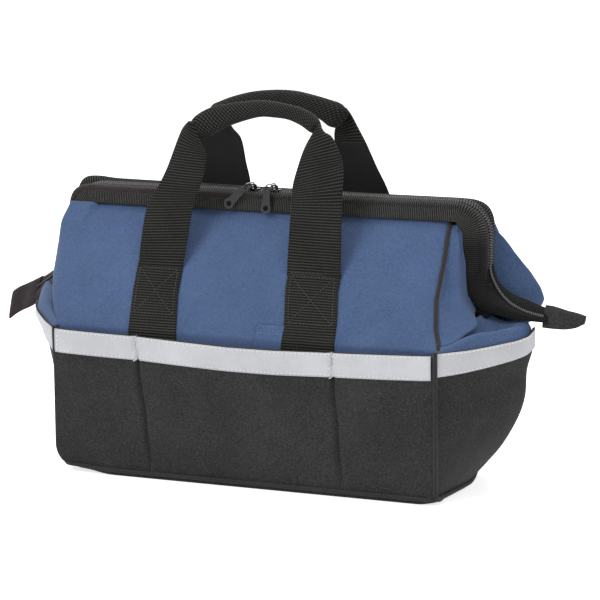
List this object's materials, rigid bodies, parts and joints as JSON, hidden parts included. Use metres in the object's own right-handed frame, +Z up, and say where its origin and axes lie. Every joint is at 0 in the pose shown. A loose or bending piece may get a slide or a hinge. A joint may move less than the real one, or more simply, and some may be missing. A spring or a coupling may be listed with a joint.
{
  "type": "zippered tool bag",
  "caption": "Soft tool bag with a stiff base, pockets under a pale band, a hinged mouth frame closed by a two-slider zip, and two webbing handles that fold down.",
  "frame": {"origin": "centre of the base, on the surface it stands on", "axes": "+X along the length towards the right end seen from the front, -Y to the front, +Z up"},
  "size_m": [0.6385, 0.1836, 0.3815],
  "materials": {
    "blue_cloth": "woven canvas, matt",
    "black_cloth": "woven canvas, matt",
    "webbing": "ribbed webbing",
    "reflective_tape": "pale woven tape, slight sheen",
    "piping": "cord piping",
    "board": "moulded sheet",
    "steel": "plain wire",
    "slider_metal": "dark enamel"
  },
  "bodies": {
    "bag_body": {"base_panel": "black_cloth", "base_board": "board", "base_welt": "piping", "front_lower_wall": "black_cloth", "front_pocket_layer": "black_cloth", "front_pocket_divider_1": "black_cloth", "front_pocket_divider_2": "black_cloth", "front_stripe": "reflective_tape", "rear_lower_wall": "black_cloth", "rear_pocket_layer": "black_cloth", "rear_pocket_divider_1": "black_cloth", "rear_pocket_divider_2": "black_cloth", "rear_stripe": "reflective_tape", "left_end_panel": "black_cloth", "left_stripe": "reflective_tape", "left_gusset_lip": "blue_cloth", "right_end_panel": "black_cloth", "right_stripe": "reflective_tape", "right_gusset_lip": "blue_cloth", "front_left_corner_piping": "piping", "front_right_corner_piping": "piping", "rear_left_corner_piping": "piping", "rear_right_corner_piping": "piping"},
    "hinge_carrier": {"left_hinge_rivet": "steel", "left_zip_tail": "webbing", "left_tail_tab": "black_cloth", "right_hinge_rivet": "steel", "right_zip_tail": "webbing", "right_tail_tab": "black_cloth"},
    "mouth_front": {"front_frame_rod": "steel", "front_binding": "webbing", "front_zip_tape": "webbing", "front_zip_coil": "slider_metal"},
    "front_panel": {"front_upper_panel": "blue_cloth", "front_left_upper_piping": "piping", "front_right_upper_piping": "piping", "front_left_strap_end": "webbing", "front_right_strap_end": "webbing", "left_front_gusset_leaf": "blue_cloth", "right_front_gusset_leaf": "blue_cloth", "front_side_tab": "blue_cloth"},
    "front_handle": {"front_handle": "webbing"},
    "mouth_rear": {"rear_frame_rod": "steel", "rear_binding": "webbing", "rear_zip_tape": "webbing", "rear_zip_coil": "slider_metal"},
    "rear_panel": {"rear_upper_panel": "blue_cloth", "rear_left_upper_piping": "piping", "rear_right_upper_piping": "piping", "rear_left_strap_end": "webbing", "rear_right_strap_end": "webbing", "left_rear_gusset_leaf": "blue_cloth", "right_rear_gusset_leaf": "blue_cloth"},
    "rear_handle": {"rear_handle": "webbing"},
    "left_slider": {"left_slider": "slider_metal"},
    "left_pull_link": {"left_pull_link": "slider_metal"},
    "left_pull_tab": {"left_pull_tab": "slider_metal"},
    "right_slider": {"right_slider": "slider_metal"},
    "right_pull_link": {"right_pull_link": "slider_metal"},
    "right_pull_tab": {"right_pull_tab": "slider_metal"}
  },
  "joints": [
    {"name": "mouth_front_hinge", "type": "hinge", "parent": "hinge_carrier", "child": "mouth_front", "pos_m": [0, 0, 0.182], "axis": [1, 0, 0], "range_deg": [0, 60]},
    {"name": "mouth_rear_hinge", "type": "hinge", "parent": "hinge_carrier", "child": "mouth_rear", "pos_m": [0, 0, 0.182], "axis": [-1, 0, 0], "range_deg": [0, 60]},
    {"name": "hinge_lift", "type": "slide", "parent": "bag_body", "child": "hinge_carrier", "axis": [0, 0, 1], "range_m": [0, 0.07], "deforming": ["left_gusset_lip", "right_gusset_lip"]},
    {"name": "front_panel_crease", "type": "hinge", "parent": "bag_body", "child": "front_panel", "pos_m": [0, -0.081, 0.147], "axis": [1, 0, 0], "range_deg": [0, 28.7], "deforming": ["left_front_gusset_leaf", "right_front_gusset_leaf"]},
    {"name": "front_handle_fold", "type": "hinge", "parent": "front_panel", "child": "front_handle", "pos_m": [0, -0.0521, 0.2078], "axis": [1, 0, 0], "range_deg": [0, 130]},
    {"name": "rear_panel_crease", "type": "hinge", "parent": "bag_body", "child": "rear_panel", "pos_m": [0, 0.081, 0.147], "axis": [-1, 0, 0], "range_deg": [0, 28.7], "deforming": ["left_rear_gusset_leaf", "right_rear_gusset_leaf"]},
    {"name": "rear_handle_fold", "type": "hinge", "parent": "rear_panel", "child": "rear_handle", "pos_m": [0, 0.0521, 0.2078], "axis": [-1, 0, 0], "range_deg": [0, 130]},
    {"name": "left_slider_travel", "type": "slide", "parent": "mouth_front", "child": "left_slider", "axis": [1, 0, 0], "range_m": [-0.145, 0]},
    {"name": "left_link_swing", "type": "hinge", "parent": "left_slider", "child": "left_pull_link", "pos_m": [-0.025, 0, 0.28725], "axis": [-1, 0, 0], "range_deg": [0, 90]},
    {"name": "left_tab_swing", "type": "hinge", "parent": "left_pull_link", "child": "left_pull_tab", "pos_m": [-0.025, -0.017, 0.28725], "axis": [-1, 0, 0], "range_deg": [0, 90]},
    {"name": "right_slider_travel", "type": "slide", "parent": "mouth_front", "child": "right_slider", "axis": [1, 0, 0], "range_m": [0, 0.17]},
    {"name": "right_link_swing", "type": "hinge", "parent": "right_slider", "child": "right_pull_link", "pos_m": [-0.002, 0, 0.28725], "axis": [-1, 0, 0], "range_deg": [0, 90]},
    {"name": "right_tab_swing", "type": "hinge", "parent": "right_pull_link", "child": "right_pull_tab", "pos_m": [-0.002, -0.017, 0.28725], "axis": [-1, 0, 0], "range_deg": [0, 90]}
  ],
  "couplings": [
    {"joint": "mouth_rear_hinge", "follows": "mouth_front_hinge", "ratio": 1},
    {"joint": "hinge_lift", "follows": "mouth_front_hinge", "m_per_rad": 0.0667},
    {"joint": "front_panel_crease", "follows": "mouth_front_hinge", "ratio": 0.4763},
    {"joint": "rear_panel_crease", "follows": "mouth_front_hinge", "ratio": 0.4763}
  ]
}
